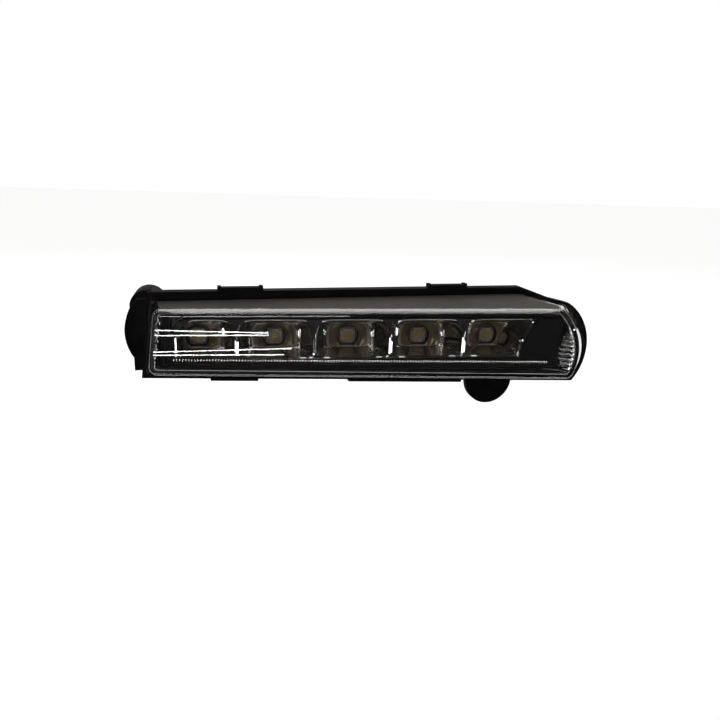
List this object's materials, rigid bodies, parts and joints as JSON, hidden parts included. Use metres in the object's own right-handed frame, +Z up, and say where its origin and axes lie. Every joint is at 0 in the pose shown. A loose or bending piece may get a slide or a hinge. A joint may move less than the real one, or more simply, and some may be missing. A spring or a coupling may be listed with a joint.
{
  "type": "daytime running light",
  "caption": "Slim daytime running light: clear lens with fluted ends over a row of reflector bowls with LEDs, on a black housing with a screw ear and a screw lug.",
  "frame": {"origin": "mouth of the screw boss behind the left ear", "axes": "+X along the LED row towards the round end, +Y from the lens to the back along the boss, +Z up"},
  "size_m": [0.2253, 0.0585, 0.0616],
  "materials": {
    "housing_black": "fine moulded texture",
    "lens_clear": "clear polished",
    "seal_rubber": "matt",
    "bezel_black": "satin",
    "reflector_metal": "vacuum metallised",
    "board_mask": "satin solder mask",
    "driver_mask": "satin solder mask",
    "spreader_aluminium": "rolled sheet",
    "led_package": "ceramic-like moulding",
    "led_phosphor": "silicone",
    "component_black": "moulded",
    "capacitor_can": "drawn can",
    "pin_tin": "tin plated"
  },
  "bodies": {
    "root": {"board_link": "component_black", "breather_cap": "seal_rubber", "capacitors": "capacitor_can", "choke": "component_black", "diode": "component_black", "driver_board": "driver_mask", "driver_chip": "component_black", "heat_spreader": "spreader_aluminium", "inner_bezel": "bezel_black", "led_1": "led_package", "led_2": "led_package", "led_3": "led_package", "led_4": "led_package", "led_5": "led_package", "led_board": "board_mask", "led_phosphor_1": "led_phosphor", "led_phosphor_2": "led_phosphor", "led_phosphor_3": "led_phosphor", "led_phosphor_4": "led_phosphor", "led_phosphor_5": "led_phosphor", "lens_seal": "seal_rubber", "outer_lens": "lens_clear", "rear_housing": "housing_black", "reflector": "reflector_metal", "terminal_pins": "pin_tin"}
  },
  "joints": []
}
